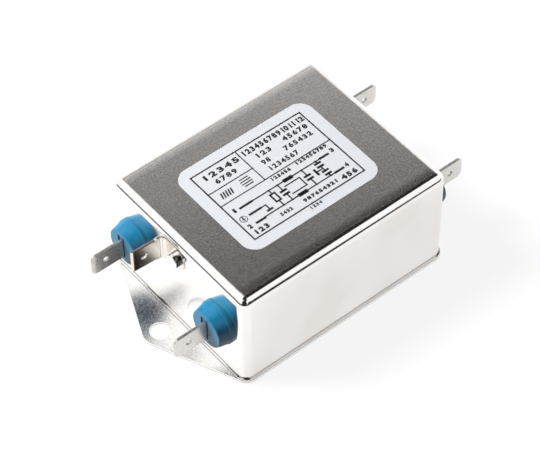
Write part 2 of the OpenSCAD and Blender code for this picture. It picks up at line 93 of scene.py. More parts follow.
def pick(obj, kind, test):
    # Leaves obj in edit mode with what passes the test selected; test gets places in mm
    if bpy.context.mode != "EDIT_MESH":
        selectOnly(obj)
        bpy.ops.object.mode_set(mode="EDIT")
    bpy.ops.mesh.select_mode(type=kind)
    bpy.ops.mesh.select_all(action="DESELECT")
    mesh = bmesh.from_edit_mesh(obj.data)
    mesh.normal_update()
    if kind == "FACE":
        for face in mesh.faces:
            if test(face.calc_center_median() / mm, face.normal):
                face.select_set(True)
    elif kind == "EDGE":
        for edge in mesh.edges:
            a, b = (v.co / mm for v in edge.verts)
            if test(a, b):
                edge.select_set(True)
    else:
        for vert in mesh.verts:
            if test(vert.co / mm):
                vert.select_set(True)
    mesh.select_flush_mode()
    bmesh.update_edit_mesh(obj.data)


def leaveEdit():
    bpy.ops.object.mode_set(mode="OBJECT")


def near(a, b):
    return abs(a - b) < shapingPlan["same"]


def mergeDoubles():
    bpy.ops.mesh.remove_doubles(threshold=shapingPlan["merge"])


def bevelPicked(radius, segments=3):
    bpy.ops.mesh.bevel(offset=radius * mm, offset_type="OFFSET", segments=segments, affect="EDGES",
                       clamp_overlap=False)


def turned(name, stations, origin, axis, sides=64):
    # A turned piece: stations are (distance from origin along the axis, radius), from its inner end out
    bpy.ops.object.select_all(action="DESELECT")
    start = Vector(origin) + Vector(axis) * stations[0][0]
    bpy.ops.mesh.primitive_circle_add(vertices=sides, radius=stations[0][1] * mm, fill_type="NGON",
                                      location=start * mm, rotation=(0, math.radians(90), 0))
    obj = settle(bpy.context.object, name)
    bpy.ops.object.mode_set(mode="EDIT")
    bpy.ops.mesh.select_mode(type="FACE")
    bpy.ops.mesh.select_all(action="SELECT")
    for (lastX, lastR), (x, r) in zip(stations, stations[1:]):
        step = Vector(axis) * (x - lastX) * mm
        bpy.ops.mesh.extrude_region_move(TRANSFORM_OT_translate={"value": step})
        centre = (Vector(origin) + Vector(axis) * x) * mm
        bpy.ops.transform.resize(value=(1, r / lastR, r / lastR), center_override=centre)
    bpy.ops.mesh.select_all(action="SELECT")
    bpy.ops.mesh.normals_make_consistent(inside=False)
    leaveEdit()
    return obj


def roundedEnd(x, r, edge):
    # The last stations of a turned piece whose outer edge is rounded
    part = shapingPlan["roundShare"] * edge
    return [(x - edge, r), (x - part, r - part), (x, r - edge)]


def cut(obj, cutter):
    selectOnly(obj)
    tool = obj.modifiers.new("cut", "BOOLEAN")
    tool.operation = "DIFFERENCE"
    tool.solver = "EXACT"
    tool.object = cutter
    bpy.ops.object.modifier_apply(modifier="cut")
    bpy.data.objects.remove(cutter)


def drill(obj, centre, radius, length, rotation):
    bpy.ops.object.select_all(action="DESELECT")
    bpy.ops.mesh.primitive_cylinder_add(vertices=shapingPlan["drillSides"], radius=radius * mm,
                                        depth=length * mm, location=Vector(centre) * mm,
                                        rotation=rotation)
    cut(obj, settle(bpy.context.object, "drill"))


def soften(obj, width, segments=2):
    # Rounds the sharp edges a little and keeps the flats flat under smooth shading
    selectOnly(obj)
    if width:
        edge = obj.modifiers.new("edge", "BEVEL")
        edge.width = width * mm
        edge.segments = segments
        edge.limit_method = "ANGLE"
        edge.angle_limit = math.radians(shapingPlan["bevelAngle"])
        edge.use_clamp_overlap = True
        bpy.ops.object.modifier_apply(modifier="edge")
    bpy.ops.object.shade_smooth_by_angle(angle=math.radians(shapingPlan["smoothAngle"]))
    flat = obj.modifiers.new("flat", "WEIGHTED_NORMAL")
    flat.keep_sharp = True
    bpy.ops.object.modifier_apply(modifier="flat")


def duplicate(obj, name):
    selectOnly(obj)
    bpy.ops.object.duplicate(linked=False)
    return nameObject(bpy.context.object, name)


def finishPiece(obj, node, material):
    obj.data.materials.clear()
    obj.data.materials.append(material)
    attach(obj, "root")
    if node:
        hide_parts(node)


# Small helpers for materials

def newMaterial(name):
    material = bpy.data.materials.new(name)
    material.use_nodes = True
    return material, material.node_tree, material.node_tree.nodes["Principled BSDF"]


def emptyMaterial(name):
    material = bpy.data.materials.new(name)
    material.use_nodes = True
    material.node_tree.nodes.clear()
    return material, material.node_tree


def feed(tree, socket, value):
    if isinstance(value, bpy.types.NodeSocket):
        tree.links.new(value, socket)
    else:
        socket.default_value = value


def addNode(tree, kind, settings=None, **inputs):
    node = tree.nodes.new("ShaderNode" + kind)
    for key, value in (settings or {}).items():
        setattr(node, key, value)
    for key, value in inputs.items():
        feed(tree, node.inputs[key.replace("_", " ")], value)
    return node


def calculate(tree, operation, *values):
    node = addNode(tree, "Math", {"operation": operation})
    for socket, value in zip(node.inputs, values):
        feed(tree, socket, value)
    return node.outputs[0]


def objectPlace(tree):
    return addNode(tree, "TexCoord").outputs["Object"]


def noise(tree, place, grain, detail=3.0, stretch=(1, 1, 1)):
    # grain is the size of one speck in mm
    scaled = addNode(tree, "Mapping", Vector=place, Scale=stretch).outputs["Vector"]
    return addNode(tree, "TexNoise", Vector=scaled, Scale=1 / (grain * mm), Detail=detail).outputs["Fac"]


def ramp(tree, value, low, high, start=0.0, end=1.0):
    node = addNode(tree, "MapRange", Value=value, From_Min=low, From_Max=high, To_Min=start, To_Max=end)
    return node.outputs["Result"]


def blendColour(tree, factor, dark, light, over=None, under=None):
    # The Mix node holds sockets for every kind, so the colour ones are found by their type
    node = addNode(tree, "Mix", {"data_type": "RGBA"})
    first, second = (socket for socket in node.inputs if socket.type == "RGBA")
    first.default_value = (*dark, 1)
    second.default_value = (*light, 1)
    if over:
        tree.links.new(over, second)
    if under:
        tree.links.new(under, first)
    tree.links.new(factor, node.inputs["Factor"])
    return next(socket for socket in node.outputs if socket.type == "RGBA")


def bump(tree, bsdf, height, depth, after=None):
    node = addNode(tree, "Bump", Height=height, Distance=depth * mm)
    if after:
        tree.links.new(after, node.inputs["Normal"])
    tree.links.new(node.outputs["Normal"], bsdf.inputs["Normal"])


# The noise levels of the darkest and the lightest specks, and how far they change the roughness
speckPlan = {"low": 0.3, "high": 0.7, "roughSpread": 0.04, "coatRoughness": 0.15}


def grainedFinish(name, look):
    # A two-tone speckled surface, for plain plastics, ceramics, papers and dull metals; a look with a
    # shade has that shade painted where its mask is 0
    material, tree, bsdf = newMaterial(name)
    place = objectPlace(tree)
    low, high = speckPlan["low"], speckPlan["high"]
    specks = noise(tree, place, look["grain"], stretch=look.get("stretch", (1, 1, 1)))
    tone = blendColour(tree, ramp(tree, specks, low, high), look["dark"], look["light"])
    if "shade" in look:
        tone = blendColour(tree, look["mask"](tree, place), look["shade"], look["light"], over=tone)
    tree.links.new(tone, bsdf.inputs["Base Color"])
    rough, spread = look["roughness"], speckPlan["roughSpread"]
    tree.links.new(ramp(tree, specks, low, high, rough - spread, rough + spread),
                   bsdf.inputs["Roughness"])
    bsdf.inputs["Metallic"].default_value = look.get("metallic", 0)
    bsdf.inputs["Coat Weight"].default_value = look.get("coat", 0)
    bsdf.inputs["Coat Roughness"].default_value = speckPlan["coatRoughness"]
    bsdf.inputs["Specular IOR Level"].default_value = look.get("specular", 0.5)
    bump(tree, bsdf, specks, look["relief"])
    return material


# Sizes that the finishes need too, in mm, with the earth blade's splay in degrees

canPlan = {"cornerR": 2.6, "roofR": 2.5, "sheet": 0.5, "rimOut": 0.45, "rimHigh": 0.5, "rimEdge": 0.14,
           "segments": 12, "ceilingSegments": 6}
earthPlan = {"thick": 0.8, "footR": 3.3, "bendR": 0.6, "bladeHigh": 6.8, "rootLong": 0.8, "splay": 3.0,
             "bladeY": 4.3, "holeR": 0.9, "holeBack": 3.4, "edge": 0.06,
             "footThin": 0.5, "footRamp": 0.7, "tipBevel": 0.5, "footSegments": 6, "bendSteps": 10}


# Finishes. Where a look changes at a place, a pair gives the distances at which that starts and ends,
# in mm

canFinish = {
    "wall": (0.84, 0.81, 0.78), "wallLight": (0.88, 0.86, 0.84),
    # Painted light: the end walls lighter than the long walls, and a painted highlight on the fillet
    "endWallLight": (0.93, 0.915, 0.895), "filletHighlight": (0.97, 0.96, 0.945),
    "dark": (0.715, 0.685, 0.655), "light": (0.905, 0.87, 0.835),
    "wallRoughness": 0.13, "roofRoughness": 0.20,
    "peel": 0.46, "peelDetail": 4, "peelDepth": 0.010, "peelLevels": (0.38, 0.62),   # fine orange peel
    "wave": 16.0, "waveDetail": 1, "waveDepth": 0.03, "waveLevels": (0.4, 0.6),      # the drawn walls
    "crownRun": 2.4, "crownTilt": 3.8,  # the roof dips towards its long edges: run in mm, tilt in degrees
    "creaseShade": (0.10, 0.095, 0.09), "creaseHigh": 0.38, "creaseFull": 0.6,   # shadow line above the foot rim
    "sideCreaseShade": 0.65,                 # its strength on the long walls
    "roofFrom": (-0.10, -0.02), "filletFrom": (-1.5, -1.2), "endFrom": (-0.9, -0.3),
    "creaseFrom": (0.02, 0.04), "rimTo": (-0.34, -0.26),
}


def steps(tree, value, level, pair, start=0.0, end=1.0):
    # Goes from start to end where value passes from one distance to the other, both from level
    return ramp(tree, value, (level + pair[0]) * mm, (level + pair[1]) * mm, start, end)


def makeCanMetal():
    look = canFinish
    material, tree, bsdf = newMaterial("nickelCan")
    place = objectPlace(tree)
    parts = addNode(tree, "SeparateXYZ", Vector=place)
    height = parts.outputs["Z"]
    low, high = nodeBox("can")
    rimTop = low.z + canPlan["rimHigh"]
    endX = high.x - canPlan["rimOut"]
    flatY = high.y - canPlan["rimOut"] - canPlan["roofR"]
    onRoof = steps(tree, height, high.z, look["roofFrom"])
    onFillet = steps(tree, height, high.z, look["filletFrom"])
    sideways = calculate(tree, "ABSOLUTE", parts.outputs["X"])
    outward = calculate(tree, "ABSOLUTE", parts.outputs["Y"])
    onEnd = steps(tree, sideways, endX, look["endFrom"])
    # Tones: grained on the roof, lighter on the fillet and the end walls, where light is painted
    peel = noise(tree, place, look["peel"], look["peelDetail"])
    wave = noise(tree, place, look["wave"], look["waveDetail"])
    grain = blendColour(tree, ramp(tree, peel, *look["peelLevels"]), look["dark"], look["light"])
    drawn = blendColour(tree, ramp(tree, wave, *look["waveLevels"]), look["wall"], look["wallLight"])
    walls = blendColour(tree, onEnd, look["wall"], look["endWallLight"], under=drawn)
    sides = blendColour(tree, onFillet, look["wall"], look["filletHighlight"], under=walls)
    metal = blendColour(tree, onRoof, look["wall"], look["wall"], over=grain, under=sides)
    # Painted shade on the rim's outer side and just above its top, light on the top itself
    above = steps(tree, height, rimTop, look["creaseFrom"])
    fading = (look["creaseFull"] * look["creaseHigh"], look["creaseHigh"])
    faded = steps(tree, height, rimTop, fading, 1, 0)
    inCreaseShade = calculate(tree, "MULTIPLY", above, faded)
    strength = ramp(tree, onEnd, 0, 1, look["sideCreaseShade"], 1)
    rimShade = steps(tree, height, rimTop, look["rimTo"], 1, 0)
    shaded = calculate(tree, "MAXIMUM", calculate(tree, "MULTIPLY", inCreaseShade, strength), rimShade)
    tone = blendColour(tree, shaded, look["wall"], look["creaseShade"], under=metal)
    tree.links.new(tone, bsdf.inputs["Base Color"])
    bsdf.inputs["Metallic"].default_value = 1
    rough = ramp(tree, onRoof, 0, 1, look["wallRoughness"], look["roofRoughness"])
    tree.links.new(rough, bsdf.inputs["Roughness"])
    # Relief: slow waves all over, the dip and the peel on the roof alone
    waves = addNode(tree, "Bump", Height=wave, Distance=look["waveDepth"] * mm)
    run = steps(tree, outward, flatY, (-look["crownRun"], 0))
    dip = calculate(tree, "POWER", run, 2)
    crownDepth = look["crownRun"] * math.tan(math.radians(look["crownTilt"])) / 2
    crown = addNode(tree, "Bump", {"invert": True}, Height=dip, Distance=crownDepth * mm, Strength=onRoof,
                    Normal=waves.outputs["Normal"])
    fine = calculate(tree, "MULTIPLY", peel, onRoof)
    bump(tree, bsdf, fine, look["peelDepth"], after=crown.outputs["Normal"])
    return material


tabFinish = {"dark": (0.64, 0.62, 0.585), "light": (0.76, 0.74, 0.705), "grain": 0.35, "roughness": 0.30,
             "relief": 0.002, "metallic": 1, "stretch": (0.4, 1, 1)}


def bladeMask(tree, place):
    # 0 at the tip of the earth blade's near face, where a dark reflection is painted, 1 at its root and
    # on all its other sides
    plan = earthPlan
    offFrom, tipLong = (0.1, 0.2), 1
    low, high = nodeBox("earth_tab")
    parts = addNode(tree, "SeparateXYZ", Vector=place)
    slope = math.tan(math.radians(plan["splay"]))
    bendX = high.x - plan["thick"] - plan["bendR"]
    across = calculate(tree, "MULTIPLY_ADD", parts.outputs["X"], slope, parts.outputs["Y"])
    offFace = steps(tree, across, plan["bladeY"] + bendX * slope, offFrom)
    inward = ramp(tree, parts.outputs["X"], (low.x + tipLong) * mm, bendX * mm)
    return calculate(tree, "MAXIMUM", offFace, inward)


def plateMask(tree, place):
    # 0 in a thin line of painted shade along the foot of the plate's rim, 1 above it and on the underside
    overFrom, underTo = (0.22, 0.32), (0, 0.03)
    height = addNode(tree, "SeparateXYZ", Vector=place).outputs["Z"]
    return calculate(tree, "MAXIMUM", steps(tree, height, 0, overFrom), steps(tree, height, 0, underTo, 1, 0))


def bushingMask(tree, place):
    # 0 low on a bushing's flank, where its shade is painted, 1 high on it and on its face
    faceFrom, flankFoot, flankTop = (-0.2, -0.1), 3, 1
    low, high = nodeBox("line_bushing_1")
    parts = addNode(tree, "SeparateXYZ", Vector=place)
    sideways = calculate(tree, "ABSOLUTE", parts.outputs["X"])
    raised = ramp(tree, parts.outputs["Z"], (low.z + flankFoot) * mm, (high.z - flankTop) * mm)
    return calculate(tree, "MAXIMUM", steps(tree, sideways, -low.x, faceFrom), raised)


def rivetMask(tree, place):
    # 0 on the near flank of the rivet's head, where its shade is painted, 1 on its face and its other flank
    faceTo, awayFrom = (0.12, 0.3), (-1.2, -0.2)
    low, high = nodeBox("earth_rivet")
    parts = addNode(tree, "SeparateXYZ", Vector=place)
    onFace = steps(tree, parts.outputs["X"], low.x, faceTo, 1, 0)
    away = steps(tree, parts.outputs["Y"], (low.y + high.y) / 2, awayFrom)
    return calculate(tree, "MAXIMUM", onFace, away)


# The bushings' shade is painted shade low on their flanks
bushingFinish = {"dark": (0.008, 0.18, 0.345), "light": (0.022, 0.225, 0.40), "grain": 1.6,
                 "roughness": 0.36, "relief": 0.004, "coat": 0.1, "specular": 0.4,
                 "shade": (0.0, 0.05, 0.14), "mask": bushingMask}
# The plate's shade is painted shade in a thin line along its foot
plateFinish = {"dark": (0.97, 0.965, 0.95), "light": (0.99, 0.985, 0.975), "grain": 0.8, "roughness": 0.27,
               "relief": 0.0005, "metallic": 1, "shade": (0.30, 0.29, 0.28), "mask": plateMask}
# The earth blade's shade is a painted dark reflection towards the tip of its near face
earthFinish = {"dark": (0.82, 0.77, 0.715), "light": (0.90, 0.855, 0.80), "grain": 0.5, "roughness": 0.16,
               "relief": 0.0006, "metallic": 1, "shade": (0.15, 0.115, 0.085), "mask": bladeMask}
# The rivet's shade is painted shade on the near flank of its head
rivetFinish = {"dark": (0.92, 0.905, 0.88), "light": (0.96, 0.945, 0.93), "grain": 0.4, "roughness": 0.2,
               "relief": 0.0006, "metallic": 1, "shade": (0.13, 0.12, 0.11), "mask": rivetMask}
paperFinish = {"dark": (0.67, 0.69, 0.725), "light": (0.725, 0.745, 0.775), "grain": 0.25, "roughness": 0.45,
               "relief": 0.002}
inkFinish = {"dark": (0.010, 0.010, 0.012), "light": (0.022, 0.022, 0.025), "grain": 0.2, "roughness": 0.5,
             "relief": 0.001}
hiddenFinishes = {
    "brass_lug": {"dark": (0.60, 0.42, 0.18), "light": (0.72, 0.53, 0.25), "grain": 0.4, "roughness": 0.3,
                  "relief": 0.002, "metallic": 1},
    "ferrite": {"dark": (0.02, 0.09, 0.05), "light": (0.04, 0.14, 0.08), "grain": 0.5, "roughness": 0.45,
                "relief": 0.01},
    "white_plastic": {"dark": (0.72, 0.71, 0.66), "light": (0.80, 0.79, 0.75), "grain": 0.8, "roughness": 0.4,
                      "relief": 0.003},
    "enamelled_copper": {"dark": (0.45, 0.13, 0.04), "light": (0.58, 0.20, 0.07), "grain": 0.5,
                         "roughness": 0.22, "relief": 0.002, "metallic": 0.8},
    "capacitor_case": {"dark": (0.70, 0.46, 0.05), "light": (0.80, 0.55, 0.08), "grain": 0.6,
                       "roughness": 0.38, "relief": 0.004},
    "disc_lacquer": {"dark": (0.03, 0.12, 0.42), "light": (0.05, 0.18, 0.52), "grain": 0.7,
                     "roughness": 0.25, "relief": 0.008},
    "resistor_ceramic": {"dark": (0.55, 0.40, 0.24), "light": (0.66, 0.50, 0.32), "grain": 0.4,
                         "roughness": 0.35, "relief": 0.003},
    "film": {"dark": (0.66, 0.58, 0.36), "light": (0.74, 0.67, 0.45), "grain": 2.0, "roughness": 0.3,
             "relief": 0.002},
    "fibre_board": {"dark": (0.28, 0.15, 0.09), "light": (0.42, 0.25, 0.16), "grain": 0.5, "roughness": 0.7,
                    "relief": 0.02, "stretch": (1, 4, 1)},
    "potting": {"dark": (0.025, 0.025, 0.027), "light": (0.05, 0.05, 0.053), "grain": 1.5, "roughness": 0.4,
                "relief": 0.02},
}
wireFinishes = {
    "earth_wire": {"dark": (0.10, 0.34, 0.06), "light": (0.80, 0.66, 0.05), "grain": 1.2, "roughness": 0.4,
                   "relief": 0.002, "stretch": (0.05, 0.05, 1)},
    "line_wire_1": {"dark": (0.03, 0.12, 0.42), "light": (0.05, 0.17, 0.50), "grain": 0.8, "roughness": 0.4,
                    "relief": 0.002},
    "line_wire_2": {"dark": (0.17, 0.07, 0.03), "light": (0.23, 0.10, 0.05), "grain": 0.8, "roughness": 0.4,
                    "relief": 0.002},
}

canMetal = makeCanMetal()
plateMetal = grainedFinish("nickelPlate", plateFinish)
tabMetal = grainedFinish("tinnedTab", tabFinish)
earthMetal = grainedFinish("earthTabMetal", earthFinish)
rivetMetal = grainedFinish("rivetMetal", rivetFinish)
bluePlastic = grainedFinish("bluePlastic", bushingFinish)
labelPaper = grainedFinish("labelPaper", paperFinish)
labelInk = grainedFinish("labelInk", inkFinish)
print("finishes made")


# The can: a block with bevelled corners and roof, a foot rim and a hollow inside

def makeCan():
    plan = canPlan
    low, high = nodeBox("can")
    inset = Vector((plan["rimOut"], plan["rimOut"], 0))
    can = addBlock("canShell", low + inset, high - inset)
    wallX = high.x - plan["rimOut"]
    wallY = high.y - plan["rimOut"]
    rimTop = low.z + plan["rimHigh"]
    pick(can, "EDGE", lambda a, b: near(a.x, b.x) and near(a.y, b.y))
    bevelPicked(plan["cornerR"], plan["segments"])
    pick(can, "EDGE", lambda a, b: near(a.z, high.z) and near(b.z, high.z))
    bevelPicked(plan["roofR"], plan["segments"])
    bpy.ops.mesh.select_all(action="SELECT")
    bpy.ops.mesh.bisect(plane_co=(0, 0, rimTop * mm), plane_no=(0, 0, 1))
    pick(can, "FACE", lambda c, n: abs(n.z) < shapingPlan["upright"] and c.z < rimTop)
    bpy.ops.mesh.extrude_region_shrink_fatten(
        TRANSFORM_OT_shrink_fatten={"value": plan["rimOut"] * mm, "use_even_offset": True})

    def offWall(v):
        # Beyond a flat wall, or beyond the radius of a corner
        wallGap, cornerGap = 0.1, 0.2
        x, y = abs(v.x), abs(v.y)
        cornerX, cornerY = wallX - plan["cornerR"], wallY - plan["cornerR"]
        offCorner = math.hypot(x - cornerX, y - cornerY) > plan["cornerR"] + cornerGap
        return x > wallX + wallGap or y > wallY + wallGap or (x > cornerX and y > cornerY and offCorner)

    # Either end counts, because the order of an edge's two ends isn't the same each run
    pick(can, "EDGE", lambda a, b: near(a.z, rimTop) and near(b.z, rimTop) and (offWall(a) or offWall(b)))
    bevelPicked(plan["rimEdge"])
    pick(can, "FACE", lambda c, n: n.z < -shapingPlan["facing"] and near(c.x, 0) and near(c.y, 0))
    bpy.ops.mesh.inset(thickness=plan["sheet"] * mm)
    hollow = high.z - low.z - plan["sheet"]
    bpy.ops.mesh.extrude_region_move(TRANSFORM_OT_translate={"value": (0, 0, hollow * mm)})
    ceiling = low.z + hollow
    pick(can, "EDGE", lambda a, b: near(a.z, ceiling) and near(b.z, ceiling))
    bevelPicked(plan["roofR"] - plan["sheet"], plan["ceilingSegments"])
    leaveEdit()
    soften(can, 0)
    finishPiece(can, "can", canMetal)


makeCan()
print("can made")


# The base plate: the CAD outline with its edges broken

platePlan = {"edge": 0.12, "segments": 3, "flatWithin": 0.5}   # edge in mm, flatWithin in degrees


def makePlate():
    plan = platePlan
    plate = duplicate(nodes["base_plate"], "basePlate")
    for key in list(plate.keys()):   # the CAD node's own marks aren't the copy's
        del plate[key]
    bpy.ops.object.mode_set(mode="EDIT")
    bpy.ops.mesh.select_all(action="SELECT")
    mergeDoubles()
    bpy.ops.mesh.dissolve_limited(angle_limit=math.radians(plan["flatWithin"]))
    leaveEdit()
    soften(plate, plan["edge"], plan["segments"])
    finishPiece(plate, "base_plate", plateMetal)


makePlate()
print("base plate made")


# Where the terminals stand: end and number, then the sign of their x and of their y

terminals = [("line", 1, -1, -1), ("line", 2, -1, 1), ("load", 1, 1, -1), ("load", 2, 1, 1)]


def standCopies(first, kind, material):
    # The first piece stands at the line end, near side; copies are moved or turned to the rest
    pieces = [first] + [duplicate(first, first.name) for _ in terminals[1:]]
    low, high = nodeBox("line_" + kind + "_1")
    across = -(low.y + high.y)
    for piece, (end, number, endSign, sideSign) in zip(pieces, terminals):
        selectOnly(piece)
        if endSign > 0:
            bpy.ops.transform.rotate(value=math.pi, orient_axis="Z", center_override=(0, 0, 0))
            sideSign = -sideSign
        if sideSign > 0:
            bpy.ops.transform.translate(value=(0, -endSign * across * mm, 0))
        bpy.ops.object.transform_apply(location=True, rotation=True, scale=True)
        nameObject(piece, end + kind.title() + str(number))
        finishPiece(piece, end + "_" + kind + "_" + str(number), material)


# The mains tabs: a blade with cut corners, a thinned tip and a latch hole

tabPlan = {"tipCut": 1.1, "cutSegments": 4, "cutProfile": 0.4, "tipThin": 1.3, "tipThick": 0.36,
           "holeBack": 4.2, "holeR": 0.825, "edge": 0.07}


def makeTabs():
    plan = tabPlan
    low, high = nodeBox("line_tab_1")
    middle = (low + high) / 2
    tab = addBlock("tab", low, high)
    pick(tab, "EDGE", lambda a, b: near(a.x, low.x) and near(b.x, low.x) and near(a.z, b.z))
    bpy.ops.mesh.bevel(offset=plan["tipCut"] * mm, segments=plan["cutSegments"], profile=plan["cutProfile"],
                       affect="EDGES")
    bpy.ops.mesh.select_all(action="SELECT")
    bpy.ops.mesh.bisect(plane_co=((low.x + plan["tipThin"]) * mm, 0, 0), plane_no=(1, 0, 0))
    leaveEdit()
    thick = high.y - low.y
    for vert in tab.data.vertices:
        back = vert.co.x / mm - low.x
        if back < plan["tipThin"]:
            share = (plan["tipThick"] + (thick - plan["tipThick"]) * back / plan["tipThin"]) / thick
            vert.co.y = (middle.y + (vert.co.y / mm - middle.y) * share) * mm
    drill(tab, (low.x + plan["holeBack"], middle.y, middle.z), plan["holeR"], 3 * thick,
          (math.radians(90), 0, 0))
    soften(tab, plan["edge"])
    standCopies(tab, "tab", tabMetal)


makeTabs()
print("mains tabs made")


# The bushings: turned, with a pocket round the tab

bushingPlan = {"wall": 0.5, "collarT": 1.2, "collarR": 5.4, "neckR": 4.5, "baseR": 5.95, "rimHigh": 0.95,
               "rimEdge": 0.14, "faceR": 5.15, "out": 4.0, "faceEdge": 0.25, "edge": 0.05,
               "pocketWide": 2.5, "pocketHigh": 6.9, "pocketDeep": 0.35, "pocketShift": 0.6, "pocketOver": 1}


def makeBushings():
    plan = bushingPlan
    low, high = nodeBox("line_bushing_1")
    centre = Vector((low.x + plan["out"], (low.y + high.y) / 2, (low.z + high.z) / 2))
    stations = [(-plan["wall"] - plan["collarT"], plan["collarR"]), (-plan["wall"], plan["collarR"]),
                (-plan["wall"], plan["neckR"]), (0, plan["neckR"]), (0, plan["baseR"])]
    stations += roundedEnd(plan["rimHigh"], plan["baseR"], plan["rimEdge"])
    stations += roundedEnd(plan["out"], plan["faceR"], plan["faceEdge"])
    bushing = turned("bushing", stations, centre, (-1, 0, 0))
    wide, tall = plan["pocketWide"] / 2, plan["pocketHigh"] / 2
    y = centre.y + plan["pocketShift"]
    pocket = addBlock("pocket", (low.x - plan["pocketOver"], y - wide, centre.z - tall),
                      (low.x + plan["pocketDeep"], y + wide, centre.z + tall))
    cut(bushing, pocket)
    soften(bushing, plan["edge"])
    standCopies(bushing, "bushing", bluePlastic)


makeBushings()
print("bushings made")


# The earth tab: a foot on the end wall, a bend and a drilled blade

def makeEarthTab():
    plan = earthPlan
    low, high = nodeBox("earth_tab")
    wallX = high.x
    footX = wallX - plan["thick"]
    bendX = footX - plan["bendR"]
    bendY = plan["bladeY"] - plan["bendR"]
    tab = addBlock("earthTab", (footX, low.y, low.z), (wallX, bendY, high.z))
    pick(tab, "EDGE", lambda a, b: near(a.y, low.y) and near(b.y, low.y) and near(a.z, b.z))
    bevelPicked(plan["footR"], plan["footSegments"])
    pick(tab, "FACE", lambda c, n: n.y > shapingPlan["facing"])
    middleZ = (low.z + high.z) / 2
    lean = math.radians(plan["splay"])
    bpy.ops.mesh.spin(steps=plan["bendSteps"], angle=math.radians(plan["splay"] - 90),
                      center=Vector((bendX, bendY, middleZ)) * mm, axis=(0, 0, 1))
    # The blade leaves the bend as high as the foot, steps down to its own height and runs to the tip
    along = Vector((-math.cos(lean), math.sin(lean), 0))
    step = (high.z - low.z - plan["bladeHigh"]) / 2
    total = (bendX - low.x) / math.cos(lean)
    share = plan["bladeHigh"] / (high.z - low.z)
    for length, squeeze in ((plan["rootLong"], 1), (step, share), (total - plan["rootLong"] - step, 1)):
        bpy.ops.mesh.extrude_region_move(TRANSFORM_OT_translate={"value": along * length * mm})
        bpy.ops.transform.resize(value=(1, 1, squeeze), center_override=(0, 0, middleZ * mm))
    bpy.ops.mesh.select_all(action="SELECT")
    mergeDoubles()
    bpy.ops.mesh.normals_make_consistent(inside=False)
    # The foot is thinned from its outer face, as far as the bend
    rampY = bendY - plan["footRamp"]
    bpy.ops.mesh.bisect(plane_co=(0, rampY * mm, 0), plane_no=(0, 1, 0))
    pick(tab, "VERT", lambda v: near(v.x, footX) and v.y < rampY + shapingPlan["same"])
    bpy.ops.transform.translate(value=(plan["footThin"] * mm, 0, 0))
    # The long edge of the tip's near side is bevelled
    tipReach, sideReach, shortest = 0.3, 0.2, 1
    tipX = low.x + tipReach
    nearY = plan["bladeY"] + math.tan(lean) * (bendX - low.x) + sideReach
    pick(tab, "EDGE", lambda a, b: max(a.x, b.x) < tipX and max(a.y, b.y) < nearY
         and abs(a.z - b.z) > shortest)
    bevelPicked(plan["tipBevel"], 1)
    leaveEdit()
    across = Vector((math.sin(lean), math.cos(lean), 0))
    middle = Vector((bendX, bendY, middleZ)) + across * (plan["bendR"] + plan["thick"] / 2)
    drill(tab, middle + along * (total - plan["holeBack"]), plan["holeR"], 4 * plan["thick"],
          (math.radians(90), 0, -lean))
    soften(tab, plan["edge"])
    finishPiece(tab, "earth_tab", earthMetal)


rivetPlan = {"wall": 0.5, "lug": 0.6, "tail": 0.7, "r": 1.95, "shankR": 1.2, "head": 0.9, "edge": 0.3,
             "sides": 40}


def makeRivet():
    plan = rivetPlan
    low, high = nodeBox("earth_rivet")
    centre = Vector((low.x + plan["head"], (low.y + high.y) / 2, (low.z + high.z) / 2))
    back = earthPlan["thick"] + plan["wall"] + plan["lug"]
    seat = -earthPlan["footThin"]
    stations = [(-back - plan["tail"], plan["r"]), (-back, plan["r"]), (-back, plan["shankR"]),
                (seat, plan["shankR"]), (seat, plan["r"])]
    stations += roundedEnd(plan["head"], plan["r"], plan["edge"])
    rivet = turned("earthRivet", stations, centre, (-1, 0, 0), plan["sides"])
    soften(rivet, 0)
    finishPiece(rivet, "earth_rivet", rivetMetal)


makeEarthTab()
makeRivet()
print("earth tab and rivet made")


# The label: a sheet with round corners and raised print of frames, numbers and a circuit

labelPlan = {"cornerR": 4.0, "segments": 12, "edge": 0.02, "ink": 0.02,
             "frameLow": (-17.15, -11.9), "frameHigh": (17.0, 12.85),
             "frameLine": 0.40, "innerLine": 0.32, "wire": 0.38, "thick": 0.66, "dotSides": 24,
             "digitShare": 0.7,     # a digit's height as a share of its font's size
             "space": 0.55,         # the gap between digits as a share of the font's own
             "digitSteps": 2}


def makeLabel():
    plan = labelPlan
    low, high = nodeBox("label")
    paper = addBlock("labelSheet", low, (high.x, high.y, high.z - plan["ink"]))
    pick(paper, "EDGE", lambda a, b: near(a.x, b.x) and near(a.y, b.y))
    bevelPicked(plan["cornerR"], plan["segments"])
    leaveEdit()
    soften(paper, plan["edge"])
    finishPiece(paper, "label", labelPaper)


def printPlace(u, v):
    # u runs along the can and v across it, both from 0 to 1 over the printed frame
    (x0, y0), (x1, y1) = labelPlan["frameLow"], labelPlan["frameHigh"]
    return Vector((x0 + u * (x1 - x0), y1 - v * (y1 - y0), nodeBox("label")[1].z - labelPlan["ink"]))


inkParts = []


def addBar(u, v, wide, tall, turn=0):
    # A bar of ink, centred, wide and tall in mm
    bpy.ops.object.select_all(action="DESELECT")
    bpy.ops.mesh.primitive_plane_add(size=1, location=printPlace(u, v) * mm, rotation=(0, 0, turn))
    bar = bpy.context.object
    bar.scale = (wide * mm, tall * mm, 1)
    inkParts.append(settle(bar, "ink"))


def addLine(u0, v0, u1, v1, width):
    a, b = printPlace(u0, v0), printPlace(u1, v1)
    span = (b - a).length + width
    addBar((u0 + u1) / 2, (v0 + v1) / 2, span, width, math.atan2(b.y - a.y, b.x - a.x))


